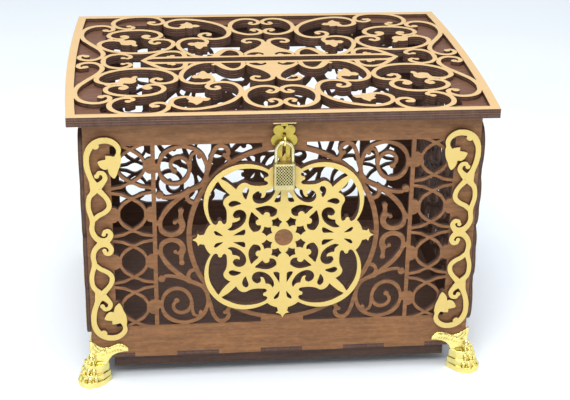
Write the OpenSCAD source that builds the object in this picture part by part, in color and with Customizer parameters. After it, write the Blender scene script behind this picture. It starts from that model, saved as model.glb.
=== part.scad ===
// Wedding card box in stained plywood fretwork with gold overlays, lion paw feet and a padlocked hasp.
// +X is the width, the front faces -Y, +Z is up; the origin is under the middle, on the table.

/* [Box] */
// outside width of the body (mm)
body_w = 320; // [240:1:420]
// outside depth of the body (mm)
body_d = 254; // [200:1:340]
// height of the wall panels (mm)
wall_h = 213; // [150:1:280]
// plywood thickness (mm)
ply = 4; // [3:0.5:6]
// gap between the table and the underside of the floor (mm)
foot_h = 22; // [14:1:34]

/* [Lid] */
// how far the lid stands out beyond the front and the back (mm)
lid_over = 10.5; // [6:0.5:16]
// half width of the lid at its four corners (mm)
lid_corner = 171.5; // [160:0.5:190]
// how far the lid sides bow outwards in the middle (mm)
lid_bow = 4.5; // [0:0.5:8]
// length of the card slot (mm)
slot_l = 217; // [180:1:240]
// width of the card slot (mm)
slot_w = 8.8; // [6:0.2:16]

/* [Fretwork] */
// half height of the fretted windows (mm)
win_h = 81.2; // [60:0.2:95]
// height of the window centre above the underside of the floor (mm)
win_z = 111; // [100:0.5:120]
// turning angle of one flat facet along a curved edge of the gold pieces (degrees)
facet = 45; // [10:1:60]
// the same angle for the brown boards (degrees)
facet_brown = 60; // [10:1:60]

/* [Hasp and padlock] */
// sideways place of the hasp (mm)
hasp_x = -1; // [-10:0.5:10]
// padlock body width (mm)
lock_w = 17.5; // [14:0.5:26]
// padlock body height (mm)
lock_h = 22.5; // [16:0.5:30]
// padlock body thickness (mm)
lock_t = 8; // [6:0.5:12]

/* [Hidden] */
W = body_w;
D = body_d;
T = ply;
ZB = foot_h;
ZW = ZB + wall_h;
YF = -D/2;
YB = D/2;
WZ = ZB + win_z;
LD = D/2 + lid_over;
// the lid lies this far above the tops of the walls
LG = 0.04;
brown = [0.45, 0.29, 0.20];
gold = [0.94, 0.82, 0.52];
brass = [0.80, 0.68, 0.32];
bright = [0.93, 0.80, 0.36];

// ---- ribbon strokes: a smooth curve through hand-placed [x, y, width] points ----
function cm(a, b, c, d, t) =
  0.5*((2*b) + (c - a)*t + (2*a - 5*b + 4*c - d)*t*t + (3*b - a - 3*c + d)*t*t*t);
function at(p, i) = p[max(0, min(len(p) - 1, i))];
function xy(p) = [p[0], p[1]];
function tang(p, i) = xy(at(p, i + 1)) - xy(at(p, i - 1));
function turn(a, b) = acos(max(-1, min(1, (a*b)/max(0.001, norm(a)*norm(b)))));
function steps(p, i) =
  max(1, ceil(turn(tang(p, i), tang(p, i + 1))/$q), ceil(norm(xy(at(p, i + 1)) - xy(at(p, i)))/($q*0.5)));
function span(p, i, n) =
  [for (k = [0:n]) cm(at(p, i - 1), at(p, i), at(p, i + 1), at(p, i + 2), k/n)];
function dspan(a, b, c, d, t) =
  0.5*((c - a) + 2*(2*a - 5*b + 4*c - d)*t + 3*(3*b - a - 3*c + d)*t*t);
function unit(v) = v/max(0.0001, norm(v));
function dirs(p, i, n) =
  [for (k = [0:n]) unit(dspan(xy(at(p, i - 1)), xy(at(p, i)), xy(at(p, i + 1)), xy(at(p, i + 2)), k/n))];
function edge(c, d, s) =
  [for (k = [0:len(c) - 1]) [c[k][0] - s*d[k][1]*c[k][2]/2, c[k][1] + s*d[k][0]*c[k][2]/2]];
function back(v) = [for (k = [len(v) - 1:-1:0]) v[k]];

module stroke(p) {
  for (i = [0:len(p) - 2]) {
    n = steps(p, i);
    c = span(p, i, n);
    d = dirs(p, i, n);
    polygon(concat(edge(c, d, 1), back(edge(c, d, -1))));
  }
}

module dot(x, y, r, n = 0) {
  translate([x, y]) circle(r = r, $fn = n > 0 ? n : max(8, round(288/$q)));
}

module curl(p, r) {
  stroke(p);
  dot(p[len(p) - 1][0], p[len(p) - 1][1], r);
}

function wrap(p, i) = p[(i + len(p)) % len(p)];
function loop(p) = [
  for (i = [0:len(p) - 1])
    let (a = wrap(p, i - 1), b = wrap(p, i), c = wrap(p, i + 1), d = wrap(p, i + 2),
         n = max(1, ceil(turn(c - a, d - b)/($q*1.3)), ceil(norm(c - b)/($q*0.3))))
    for (k = [0:n - 1]) cm(a, b, c, d, k/n)
];

module blade(p) {
  polygon(loop(p));
}

module both_ways() {
  children();
  mirror([1, 0]) children();
}

module four_ways() {
  both_ways() {
    children();
    mirror([0, 1]) children();
  }
}

module eight_ways() {
  four_ways() {
    children();
    mirror([1, -1]) children();
  }
}

$q = facet;

// turns a flat drawing in X and Z into a board whose front face lies at y0
module upright(y0, t) {
  translate([0, y0 + t, 0]) rotate([90, 0, 0]) linear_extrude(height = t) offset(delta = 0.01) children();
}

// ---- wall fretwork ----
module lattice_cell(w) {
  h = w/2;
  for (s = [-1, 1]) {
    stroke([[-s*(h + 0.4), 19.4, 2.6], [-s*h*0.52, 18, 2.6], [0, 14.3, 2.8], [s*7.1, 9.3, 2.8],
      [s*10.9, 3.2, 2.8], [s*10.9, -3.2, 2.8], [s*7.1, -9.3, 2.8], [0, -14.3, 2.8],
      [-s*h*0.52, -18, 2.6], [-s*(h + 0.4), -19.4, 2.6]]);
    translate([s*(h + 0.5), 0]) circle(r = 7, $fn = 14);
  }
}

module lattice_column(w) {
  intersection() {
    for (k = [-3, -1, 1, 3]) translate([0, k*21.25]) lattice_cell(w);
    square([w + 1, 2*win_h + 1], center = true);
  }
}

// one quarter of the scrolls between the upright bar and the big ring
module wall_scrolls() {
  curl([[66, 47, 3.2], [62.6, 54, 3.4], [62.4, 63, 3.4], [65.5, 71, 3.5], [72, 77, 3.5], [81, 79.9, 3.8],
    [91, 77.5, 3.6], [98.5, 71, 3.6], [101.3, 62, 3.6], [98.5, 53, 3.4], [91, 47.5, 3.4], [83, 48.5, 3.4],
    [77.8, 54, 3.4], [76, 61.5, 3.3], [79, 68, 3.2], [84.5, 70.3, 3.2], [90, 67.5, 3.1], [91, 62, 3],
    [88.5, 58.5, 3]], 2.3);
  curl([[75.8, 61, 3], [75.6, 68, 2.8], [73.5, 73, 2.6], [70, 73.5, 2.4], [68.5, 70.5, 2.4]], 1.9);
  curl([[60, 52, 4], [66, 46.5, 4], [73, 42.5, 4], [80, 39, 3.8], [87, 36.5, 3.4], [93, 35.3, 3],
    [98, 35.6, 2.8], [100.6, 37.8, 2.8]], 3.1);
  curl([[76, 42, 4.2], [83, 36.5, 4], [90, 30.5, 4], [96.5, 23, 4], [100.8, 14.5, 4], [100, 7, 4],
    [95, 2.8, 4], [89, 2.6, 4.2], [84, 6, 4.6], [82.5, 12, 4.6], [84, 17.5, 3.8], [83.7, 23.5, 3.6]], 2.3);
  curl([[83, 11, 4], [86.5, 15, 3], [88.8, 13.2, 2.6]], 1.7);
  stroke([[73, 30, 3.4], [76.5, 31.5, 3.4], [78.8, 36, 3.6], [77, 41, 4]]);
  stroke([[63, 54, 3.4], [60.8, 61, 3.4], [59.3, 68, 3.4], [57, 74.5, 3.4], [52.5, 79.3, 3.8],
    [47.5, 78.3, 3.6], [45, 73.5, 3.4], [46, 69.5, 3.6], [44, 66, 4]]);
  dot(48, 71.3, 1.9);
  dot(104, 61.5, 4.5);
  dot(103.5, 13, 2.6);
  polygon([[0, 76], [12, 75], [18, 73.5], [18, 82.5], [0, 82.5]]);
}

// one eighth of the medallion piercings, measured from its centre
module medallion_piercings() {
  translate([13.7, 6.1]) rotate(24) polygon([for (k = [0:9]) (k % 2 == 1 ? 4.7 : 3.3)*[cos(k*36), sin(k*36)]]);
  difference() {
    blade([[26.9, 23.6], [24.2, 21.2], [21, 18], [19.8, 14], [18.9, 10.6], [19.6, 7.8], [22.2, 5.9],
      [25.2, 5.7], [26.8, 7.6], [28.8, 12], [28.6, 17.5]]);
    dot(20.4, 14.2, 2.7, 16);
  }
  blade([[46.3, 8.5], [42.8, 11.5], [42.3, 14.6], [39.3, 15.2], [36.3, 17], [36.3, 19.2], [38.3, 18.4],
    [40.8, 19], [42, 21.5], [40.3, 24.5], [36.8, 26], [33.3, 25], [31, 21.5], [31.3, 17], [33.8, 12.5],
    [38.3, 9], [42.3, 7.5]]);
  blade([[45.3, 31], [43.3, 33.5], [40.3, 34], [36.3, 32.5], [35.2, 30.9], [38.3, 30], [43.3, 28.8]]);
  polygon([[41.8, 3], [37, 5.8], [33, 8], [31.8, 8], [31.8, 4.5], [33, 3]]);
  blade([[57.3, 6.5], [55.8, 4], [52.3, 3], [49.8, 2.9], [51.8, 4.6], [54.3, 6.6], [56.3, 7.5]]);
  blade([[57.3, 13.6], [60, 18], [61.9, 27], [61.6, 35], [59.5, 42], [56.5, 47.5], [53.6, 51.4],
    [50.8, 46.5], [47.3, 42.5], [44, 39.2], [46.8, 37.5], [49.2, 34.5], [49.6, 31.5], [47.8, 28],
    [46.8, 24], [46.8, 18], [47.3, 14.6], [48.8, 13.4], [50.2, 14.2], [51, 16], [52.4, 16.6],
    [53.7, 16], [54.4, 13.8], [55.8, 12.9]]);
}

module medallion(hole = 7.5) {
  difference() {
    union() {
      four_ways() translate([31.5, 32]) circle(r = 34, $fn = 56);
      eight_ways() polygon([[0, 0], [75, 0], [71.6, 2], [70.4, 5.6], [68.8, 3.9], [65.2, 4.6], [64, 8],
        [62.6, 10.6], [60.5, 13.2], [57, 14], [50, 12], [40, 12], [20, 20]]);
    }
    if (hole > 0) circle(r = hole, $fn = 28);
    eight_ways() medallion_piercings();
  }
}

module wall_front_2d() {
  difference() {
    translate([-W/2, ZB]) square([W, wall_h - LG]);
    translate([0, WZ]) square([2*139, 2*win_h], center = true);
    for (k = [0:2:8]) translate([-W/2 + k*W/9 - (k == 0 ? 1 : 0), ZB - 1])
      square([W/9 + (k % 8 == 0 ? 1 : 0), T + 1]);
  }
  translate([0, WZ]) {
    both_ways() {
      translate([103.5, -win_h - 1]) square([3.5, 2*win_h + 2]);
      translate([123, 0]) lattice_column(32);
    }
    difference() {
      circle(r = 79.6, $fn = 72);
      circle(r = 75.4, $fn = 72);
    }
    four_ways() wall_scrolls();
  }
  translate([0, WZ - 1]) {
    medallion(0);
    four_ways() polygon([[70, 0], [78, 0], [78, 2.2], [70, 2.2]]);
    four_ways() polygon([[0, 70], [2.2, 70], [2.2, 78], [0, 78]]);
  }
}

module wall_side_2d() {
  L = D - 2*T;
  difference() {
    translate([-L/2, ZB]) square([L, wall_h - LG]);
    translate([0, WZ]) square([173, 2*win_h], center = true);
    for (k = [0:2:6]) translate([-D/2 + k*D/7, ZB - 1]) square([D/7, T + 1]);
  }
  translate([0, WZ]) {
    for (k = [-2:2]) translate([k*35.3, 0]) lattice_column(31.8);
    for (k = [-1.5:1:1.5]) translate([k*35.3, 0]) square([3.5, 2*win_h + 2], center = true);
  }
}

module side_screen(s) {
  translate([s > 0 ? W/2 - T : -W/2, 0, 0]) rotate([90, 0, 90]) linear_extrude(height = T)
    offset(delta = 0.01) children();
}

module front_panel() {
  color(brown) upright(YF, T) difference() {
    wall_front_2d($q = facet_brown);
    for (s = [-1, 1]) translate([hasp_x + s*3.6, ZB + 192]) circle(r = 0.9, $fn = 8);
  }
}

module back_panel() {
  color(brown) upright(YB - T, T) difference() {
    wall_front_2d($q = facet_brown);
    for (s = [-1, 1], k = [-1, 1]) translate([s*100 + k*9, ZW - 10]) circle(r = 1, $fn = 8);
  }
}

module left_side_panel() {
  color(brown) side_screen(-1) wall_side_2d($q = facet_brown);
}

module right_side_panel() {
  color(brown) side_screen(1) wall_side_2d($q = facet_brown);
}

module floor_panel() {
  color(brown) translate([0, 0, ZB]) linear_extrude(height = T) difference() {
    square([W, D], center = true);
    for (k = [1:2:7], s = [-1, 1]) translate([-W/2 + (k + 0.5)*W/9, s*(D/2 - T/2 + 0.5)])
      square([W/9, T + 1], center = true);
    for (k = [1:2:5], s = [-1, 1]) translate([s*(W/2 - T/2 + 0.5), -D/2 + (k + 0.5)*D/7])
      square([T + 1, D/7], center = true);
  }
}

// strips under the floor, set back from the walls and stopping short of the feet
module rail(l) {
  translate([-l/2, 0, ZB - 12]) cube([l, T, 12]);
}

module base_rail_front() {
  color(brown) translate([0, YF + 6, 0]) rail(W - 36);
}

module base_rail_back() {
  color(brown) translate([0, YB - 6 - T, 0]) rail(W - 36);
}

module base_rail_left() {
  color(brown) translate([-W/2 + 6, 0, 0]) rotate([0, 0, 90]) translate([0, -T, 0]) rail(D - 36);
}

module base_rail_right() {
  color(brown) translate([W/2 - 6, 0, 0]) rotate([0, 0, 90]) rail(D - 36);
}

// ---- gold overlays ----
module medallion_overlay() {
  color(gold) upright(YF - T, T) translate([0, WZ - 1]) medallion();
}

// round plywood button let into the middle of the medallion
module medallion_disc() {
  color(brown) translate([0, YF, WZ - 1]) rotate([90, 0, 0]) cylinder(r = 7.3, h = T, $fn = 48);
}

// half of a corner column: s runs 0 to 30 inwards from the corner, t runs up from mid height
module column_half() {
  stroke([[24, 72, 3], [27.4, 76, 4], [28.1, 81, 4], [25, 86, 4.5], [19, 88.8, 5], [12, 88, 5],
    [6, 83.5, 5], [2.8, 76, 4.6], [2.6, 68, 4.6], [4, 61, 4.4], [6.5, 54, 5], [8.6, 49.5, 8.6],
    [7, 45, 5.6], [3.6, 40.5, 4], [2.5, 35, 3.8], [2.8, 29, 3.8], [4.4, 23.5, 4], [5.2, 18.5, 4.2],
    [4.4, 12.5, 4.2], [6.2, 6.2, 4.4], [10.5, 2, 6], [12, -1, 7]]);
  curl([[10.5, 49, 7], [14.5, 53, 4.6], [16.7, 57, 4], [15.2, 60.7, 3.7], [11.8, 61.2, 3.5],
    [10.1, 58.6, 3.4]], 2);
  stroke([[11, 46.5, 5], [15.5, 41.5, 4], [18.6, 36, 4], [18.7, 31, 4], [15, 26.7, 4], [10, 24, 4],
    [5.5, 20, 4]]);
  curl([[13, 0, 9], [17.5, 3, 4.8], [19.3, 7, 4.2], [17.2, 10.2, 3.8], [14.2, 9.2, 3.4],
    [13.7, 7.2, 3]], 1.8);
  dot(10, 84.5, 3.1);
  blade([[29.2, 77], [25.5, 74.5], [21.5, 75.6], [17.7, 76], [17.6, 72.6], [14, 72], [11.2, 70.5],
    [13, 66.5], [16.5, 64], [19.2, 64.5], [20, 60.5], [22.4, 57.2], [24.4, 56.4], [26, 59], [27.2, 63],
    [29, 67], [29.8, 72]]);
}

module column() {
  intersection() {
    union() {
      column_half();
      mirror([0, 1]) column_half();
    }
    translate([0.3, -100]) square([30, 200]);
  }
}

module front_column_left() {
  color(gold) upright(YF - T, T) translate([-W/2, WZ - 1]) column();
}

module front_column_right() {
  color(gold) upright(YF - T, T) translate([W/2, WZ - 1]) mirror([1, 0]) column();
}

module side_column(s, q) {
  translate([s > 0 ? W/2 : -W/2 - T, 0, 0]) rotate([90, 0, 90]) linear_extrude(height = T)
    offset(delta = 0.01) translate([q*D/2, WZ - 1]) mirror([q > 0 ? 1 : 0, 0]) column();
}

module left_side_column_front() {
  color(gold) side_column(-1, -1);
}

module left_side_column_rear() {
  color(gold) side_column(-1, 1);
}

module right_side_column_front() {
  color(gold) side_column(1, -1);
}

module right_side_column_rear() {
  color(gold) side_column(1, 1);
}

// ---- lion paw corner feet, drawn for the front left corner with the corner edge at 0, 0 ----
module foot_arm_2d() {
  polygon([[-2.5, 18], [0, 16.6], [3, 14], [7, 11.5], [11, 10.5], [16, 12], [21, 14.3], [26, 13.5],
    [29.5, 10.5], [30, 6.5], [25, 5.5], [20, 4.5], [16, 2.5], [13.5, -0.5], [12, -4], [-2.5, -4]]);
}

module foot() {
  translate([0, 0, 0]) rotate([90, 0, 0]) linear_extrude(height = 2.5) foot_arm_2d();
  rotate([90, 0, 90]) translate([0, 0, -2.5]) linear_extrude(height = 2.5) foot_arm_2d();
  translate([0, 0, -9]) linear_extrude(height = 9) polygon([[-6, -6], [4, -6.5], [12, -2.5], [13, 2],
    [5.5, 5.5], [2, 13], [-2.5, 12], [-6.5, 4]]);
  translate([0, 0, -17]) linear_extrude(height = 9) polygon([[-8, -8], [3, -9.5], [10, -5], [14, 1],
    [5.5, 5.5], [1, 14], [-5, 10], [-9.5, 3]]);
  translate([0, 0, -foot_h]) linear_extrude(height = 6) polygon([[15.5, 1.5], [9, -8], [4, -12.2],
    [-4, -13.1],
    [-10.2, -10.2], [-13.1, -4], [-12.2, 4], [-8, 9], [1.5, 15.5], [9, 9]]);
  for (k = [[-9.2, -9.2, 3.2], [-2.6, -10.6, 3.1], [4, -8.6, 2.9], [-10.6, -2.6, 3.1], [-8.6, 4, 2.9]])
    translate([k[0]*0.86, k[1]*0.86, -14]) sphere(r = k[2]*1.25, $fn = 24);
}

module foot_front_left() {
  color(bright) translate([-W/2, YF, ZB]) foot();
}

module foot_front_right() {
  color(bright) translate([W/2, YF, ZB]) mirror([1, 0, 0]) foot();
}

module foot_rear_left() {
  color(bright) translate([-W/2, YB, ZB]) mirror([0, 1, 0]) foot();
}

module foot_rear_right() {
  color(bright) translate([W/2, YB, ZB]) mirror([1, 0, 0]) mirror([0, 1, 0]) foot();
}

// ---- lid: a gold fret sheet glued on a brown base sheet ----
function lid_side(v) = lid_corner + lid_bow*(1 - (v/LD)*(v/LD));

module lid_outline(inset) {
  polygon(concat(
    [for (k = [-8:8]) let (v = k/8*LD) [lid_side(v) - inset, v*(LD - inset)/LD]],
    [for (k = [8:-1:-8]) let (v = k/8*LD) [-lid_side(v) + inset, v*(LD - inset)/LD]]));
}

// one quarter of the lid scrolls, x to the side and y towards the back
module lid_scrolls() {
  curl([[22, 13, 4], [17, 21, 4.2], [10, 28, 4.5], [5, 36, 4.5], [2.2, 45, 4.4], [3.2, 52, 4.2], [8, 57, 4.2],
    [14, 58, 4.1], [19, 55.5, 4], [20.3, 50.5, 3.8], [17.5, 46.6, 3.4], [14.8, 47.8, 3.4]], 2.3);
  difference() {
    polygon([[0, 8], [23, 8], [22, 13], [17, 21], [10, 28], [5, 36], [2.2, 45], [0, 49]]);
    blade([[5, 11.3], [5, 15], [9, 18.2], [14, 18.3], [18.6, 15], [19.8, 11.2], [13, 10.4], [11.4, 12.6],
      [9.2, 14], [7.6, 12.6], [6.6, 10.8]]);
  }
  stroke([[24.8, 8, 4], [25.2, 16, 4.2], [28.5, 24, 4.2], [34, 27.8, 4.6], [39.5, 25.5, 5.4],
    [43.5, 19, 6.4], [46.5, 13, 6.4], [48, 8, 6]]);
  dot(50.6, 13.6, 2);
  stroke([[59, 7, 5], [67, 12, 4.6], [74, 22, 4.4], [78.3, 33, 4.4], [80, 44, 4.4], [78, 54, 4.4],
    [72.5, 60.5, 4.4], [65, 62.6, 4.4], [58, 61, 4.3], [53.8, 56, 4.2], [53.2, 50.5, 4]]);
  blade([[51.5, 52], [52, 47], [53.8, 42], [53.5, 37.6], [57, 37.6], [59.5, 31.6], [61.5, 31], [64.5, 37],
    [65, 41], [68.5, 41], [71, 45.5], [69, 49], [64.5, 49], [62, 51.4], [58, 50], [55, 50.6], [54, 54]]);
  curl([[72, 96, 4], [78, 94.6, 4.4], [85, 97, 4.5], [89.3, 104, 4.6], [89, 112.5, 4.6], [83, 120, 4.6],
    [73, 123.3, 4.6], [62, 121, 4.6], [50, 114.5, 4.6], [40, 105, 4.6], [33.5, 93, 4.5], [31.5, 82, 4.5],
    [32.8, 72, 4.4], [37, 64, 4.4], [44, 60, 4.4], [51, 60.5, 4.4], [57, 64.5, 4.3], [59, 70.5, 4.2],
    [57, 76, 4], [52, 77.4, 3.8], [49, 74.5, 3.6], [50.6, 71.8, 3.6]], 2.6);
  blade([[76, 98], [70, 95], [65, 94.5], [64.5, 97.5], [60, 98], [57.5, 100.5], [60, 104.6], [64, 104.6],
    [65, 108], [68, 112], [70, 113.6], [73, 108.5], [76, 107], [75, 103], [77, 99]]);
  curl([[8, 83, 3.4], [10.4, 85.2, 3.6], [8.6, 88, 3.8], [4.8, 87.4, 4], [1.9, 83, 4.2], [2.3, 77.5, 4.2],
    [6.5, 73, 4.2], [13, 71.8, 4.3], [20, 74.8, 4.4], [26.6, 82.5, 4.4], [29.8, 92, 4.8], [28.6, 105, 4.5],
    [24, 115.4, 4.4], [18, 120.6, 4.4], [11.5, 121.6, 4.3], [5, 118.6, 4.2], [1.9, 113, 4.2],
    [2.5, 107, 4], [6.6, 103.8, 3.8], [10.4, 106, 3.6], [9, 109.4, 3.4]], 2.1);
  dot(8, 83, 2.1);
  curl([[131, 57, 4], [136, 59.4, 4.2], [143, 59, 4.3], [148.5, 54, 4.4], [150, 45, 4.4], [146, 35.5, 4.4],
    [138, 27.5, 4.5], [127, 22.3, 4.6], [116, 21, 4.6], [106, 22, 4.6], [96, 26, 4.5], [88, 34, 4.4],
    [84, 43, 4.4], [84, 51, 4.4], [88, 58, 4.4], [95, 60.8, 4.3], [101, 59.3, 4.1], [104, 55, 4],
    [103.3, 50, 4], [99.5, 47.4, 4], [97.4, 50.2, 4]], 2.7);
  blade([[133, 58], [131.5, 52], [130.5, 46.5], [125, 45], [121.5, 46], [120, 42.5], [117, 41.2],
    [116, 44], [117.5, 48], [117, 53], [118.5, 57.5], [122, 59.5], [127, 58.5], [128.5, 62.5], [133, 62.5]]);
  stroke([[106.3, 69, 3.2], [105.5, 71.6, 3.4], [108, 73.6, 3.8], [110.6, 70.5, 3.9], [109, 66, 3.9],
    [104, 63.2, 4], [98.5, 65, 4.2], [94.8, 71, 4.3], [95.5, 78.5, 4.3], [101, 85.5, 4.4], [109, 89.5, 4.4],
    [118, 90.3, 4.4], [128, 88.8, 4.4], [136, 85, 4.4], [141, 79, 4.3], [142, 72, 4.2], [138.5, 66, 4.2],
    [132.5, 63.4, 4], [127.3, 64.8, 4], [125.2, 69.4, 3.9], [127.6, 73, 3.8], [130.4, 71.4, 3.4],
    [129.8, 69, 3.2]]);
  dot(107, 69.2, 2.2);
  dot(129.2, 69.4, 2.1);
  curl([[160.6, 15, 4], [163.4, 17.4, 3.8], [166.3, 14, 4], [165.8, 8, 4], [161, 3.8, 4.2], [154, 3.9, 4.2],
    [148.5, 9, 4.3], [146, 17, 4.3], [146.8, 26, 4.3], [151, 37, 4.4], [157.5, 49, 4.5], [163.5, 61, 4.6],
    [166.8, 74, 4.7], [166.3, 87, 4.7], [162, 98, 4.6], [155.5, 104, 4.5], [148, 105.4, 4.4],
    [141.5, 102, 4.3], [138.2, 96, 4.2], [139.4, 90.4, 4], [143, 88.4, 4], [145.2, 90.6, 4]], 3.2);
  dot(160.4, 14.9, 2.9);
  curl([[123.4, 103, 3.8], [119.8, 100, 3.8], [121, 95.8, 4], [127, 94.4, 4.2], [133.5, 98.5, 4.3],
    [137.8, 106, 4.4], [138.3, 115, 4.4], [134.5, 124, 4.5], [127, 130.5, 4.6], [117, 133.5, 5],
    [107, 133.5, 5], [98, 129.5, 4.6], [92.8, 122, 4.4], [91.5, 114, 4.3], [95, 108.6, 4.2],
    [101, 107.6, 4], [105, 112, 4], [103.6, 116.6, 3.8], [101.2, 115, 3.6]], 2.7);
  dot(123.6, 102.6, 2.8);
  dot(124, 92.5, 3);
  curl([[145.6, -1, 4.6], [144.8, 8.5, 4.6], [139, 16.8, 4.4], [130.5, 19.8, 4.4], [124.5, 16, 4],
    [121.8, 10.5, 3.8], [124.5, 6.3, 3.6], [128.4, 8, 3.4]], 2.3);
  stroke([[106, 7, 5], [101.5, 14, 4.6], [95.5, 21, 4.4], [87.5, 24.6, 4.4], [80, 23, 4.4],
    [75.5, 17, 4.6], [74.5, 8, 5]]);
  dot(85.6, 11.6, 2.4);
  dot(89, 10.2, 1.8);
  dot(140.5, 61, 3);
}

module slot_hole(g) {
  a = slot_l/2 + g;
  b = slot_w/2 + g;
  polygon([[-a, 0], [-a + 1.2, -1.8], [-a + 6, -b], [a - 6, -b], [a - 1.2, -1.8], [a, 0],
    [a - 1.2, 1.8], [a - 6, b], [-a + 6, b], [-a + 1.2, 1.8]]);
}

module lid_fret_2d() {
  difference() {
    union() {
      difference() {
        lid_outline(0);
        lid_outline(7);
      }
      slot_hole(5);
      intersection() {
        lid_outline(1);
        four_ways() lid_scrolls();
      }
    }
    slot_hole(0);
  }
}

module lid_base_2d() {
  difference() {
    union() {
      difference() {
        lid_outline(0);
        square([290, 234], center = true);
      }
      slot_hole(5);
      intersection() {
        square([291, 235], center = true);
        four_ways() lid_scrolls();
      }
    }
    slot_hole(0);
    for (s = [-1, 1], k = [-1, 1]) translate([s*100 + k*9, YB + 7.3]) circle(r = 1, $fn = 8);
    for (s = [-1, 1]) translate([hasp_x + s*6, YF - 7.9]) circle(r = 1, $fn = 8);
  }
}

module lid_base() {
  color(brown) translate([0, 0, ZW]) linear_extrude(height = T)
    offset(delta = 0.01) lid_base_2d($q = facet_brown);
}

module lid_fretwork() {
  color(gold) translate([0, 0, ZW + T]) linear_extrude(height = T) offset(delta = 0.01) lid_fret_2d();
}

// ---- butt hinges across the back corner of the lid ----
HY = YB + 2.6;
HZ = ZW - 2.6;

module knuckle(x0, l) {
  translate([x0, HY, HZ]) rotate([0, 90, 0]) difference() {
    cylinder(r = 2.1, h = l, $fn = 32);
    translate([0, 0, -1]) cylinder(r = 0.85, h = l + 2, $fn = 24);
  }
}

module hinge_body_leaf(x) {
  difference() {
    union() {
      translate([x - 14, YB, ZW - 14]) cube([28, 1, 11.6]);
      for (k = [-14, 5.15]) translate([x + k, YB, HZ - 2]) cube([8.85, 2, 1.3]);
      for (k = [-14, 5.15]) knuckle(x + k, 8.85);
    }
    for (k = [-14, 5.15]) translate([x + k - 1, HY, HZ]) rotate([0, 90, 0])
      cylinder(r = 0.85, h = 11, $fn = 24);
    for (k = [-9, 9]) translate([x + k, YB - 1, ZW - 10]) rotate([-90, 0, 0])
      cylinder(r = 1, h = 4, $fn = 16);
    translate([x - 5.15, YB - 1, HZ - 3.2]) cube([10.3, 6, 8]);
  }
}

module hinge_lid_leaf(x) {
  difference() {
    union() {
      translate([x - 14, YB + 4.6, ZW - 1]) cube([28, 5.4, 1]);
      translate([x - 4.85, YB + 2.8, ZW - 1]) cube([9.7, 2.4, 1]);
      knuckle(x - 4.85, 9.7);
      translate([x - 4.85, HY, HZ + 1.3]) cube([9.7, 2, 1]);
    }
    translate([x - 6, HY, HZ]) rotate([0, 90, 0]) cylinder(r = 0.85, h = 12, $fn = 24);
    for (k = [-9, 9]) translate([x + k, YB + 7.3, ZW - 3]) cylinder(r = 1, h = 5, $fn = 16);
  }
}

module hinge_body_leaf_left() {
  color(brass) hinge_body_leaf(-100);
}

module hinge_body_leaf_right() {
  color(brass) hinge_body_leaf(100);
}

module hinge_lid_leaf_left() {
  color(brass) hinge_lid_leaf(-100);
}

module hinge_lid_leaf_right() {
  color(brass) hinge_lid_leaf(100);
}

module hinge_pin(x) {
  translate([x - 14.3, HY, HZ]) rotate([0, 90, 0]) cylinder(r = 0.8, h = 28.6, $fn = 24);
  for (k = [-14.8, 14.3]) translate([x + k, HY, HZ]) rotate([0, 90, 0]) cylinder(r = 1.3, h = 0.5, $fn = 24);
}

module hinge_pin_left() {
  color(brass) hinge_pin(-100);
}

module hinge_pin_right() {
  color(brass) hinge_pin(100);
}

module screw(l, r) {
  cylinder(r = r, h = l, $fn = 16);
  translate([0, 0, -0.8]) difference() {
    cylinder(r1 = r*1.5, r2 = r*2, h = 0.8, $fn = 20);
    translate([-r*2, -0.2, -0.1]) cube([r*4, 0.4, 0.4]);
  }
}

module hinge_body_screws() {
  color(brass) for (s = [-1, 1], k = [-9, 9])
    translate([s*100 + k, YB + 1, ZW - 10]) rotate([90, 0, 0]) screw(4.6, 0.85);
}

module hinge_lid_screws() {
  color(brass) for (s = [-1, 1], k = [-9, 9]) translate([s*100 + k, YB + 7.3, ZW - 1]) screw(4.4, 0.85);
}

// ---- hasp, staple and padlock ----
SZ = ZB + 197;
YK = YF - 8.4;

module staple_plate() {
  color(brass) translate([0, YF, 0]) rotate([90, 0, 0]) linear_extrude(height = 0.9) difference() {
    translate([hasp_x, ZB + 197]) union() {
      square([6, 12.5], center = true);
      translate([0, -5]) square([11, 4.4], center = true);
    }
    for (s = [-1, 1]) translate([hasp_x + s*3.6, ZB + 192]) circle(r = 0.7, $fn = 16);
    for (s = [-1, 1]) translate([hasp_x, SZ + s*3.9]) circle(r = 1.05, $fn = 24);
  }
}

module staple() {
  color(bright) translate([hasp_x, 0, SZ]) {
    for (s = [-1, 1]) translate([0, YF - 8.3, s*3.9]) rotate([-90, 0, 0]) cylinder(r = 1, h = 8.25, $fn = 24);
    translate([0, YF - 8.3, 0]) rotate([0, -90, 0]) rotate([180, 0, 0]) rotate_extrude(angle = 180, $fn = 48)
      translate([3.9, 0]) circle(r = 1, $fn = 24);
  }
}

module staple_screws() {
  color(brass) for (s = [-1, 1]) translate([hasp_x + s*3.6, YF - 0.9, ZB + 192]) rotate([-90, 0, 0])
    screw(4.4, 0.6);
}

HKY = YF - 4.5;
HKZ = ZW - 1.9;

module hasp_plate() {
  color(brass) difference() {
    union() {
      translate([hasp_x - 9, YF - 9.6, ZW - 0.9]) cube([18, 6, 0.9]);
      for (k = [-9, 3.15]) translate([hasp_x + k, HKY, HKZ]) rotate([0, 90, 0])
        cylinder(r = 1.4, h = 5.85, $fn = 32);
      for (k = [-9, 3.15]) translate([hasp_x + k, HKY - 1.4, HKZ]) cube([5.85, 1.4, 1.9]);
    }
    translate([hasp_x - 3.1, HKY - 1.65, ZW - 1]) cube([6.2, 8, 2]);
    translate([hasp_x - 10, HKY, HKZ]) rotate([0, 90, 0]) cylinder(r = 0.65, h = 20, $fn = 24);
    for (s = [-1, 1]) translate([hasp_x + s*6, YF - 7.9, ZW - 2]) cylinder(r = 0.8, h = 4, $fn = 16);
  }
}

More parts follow.
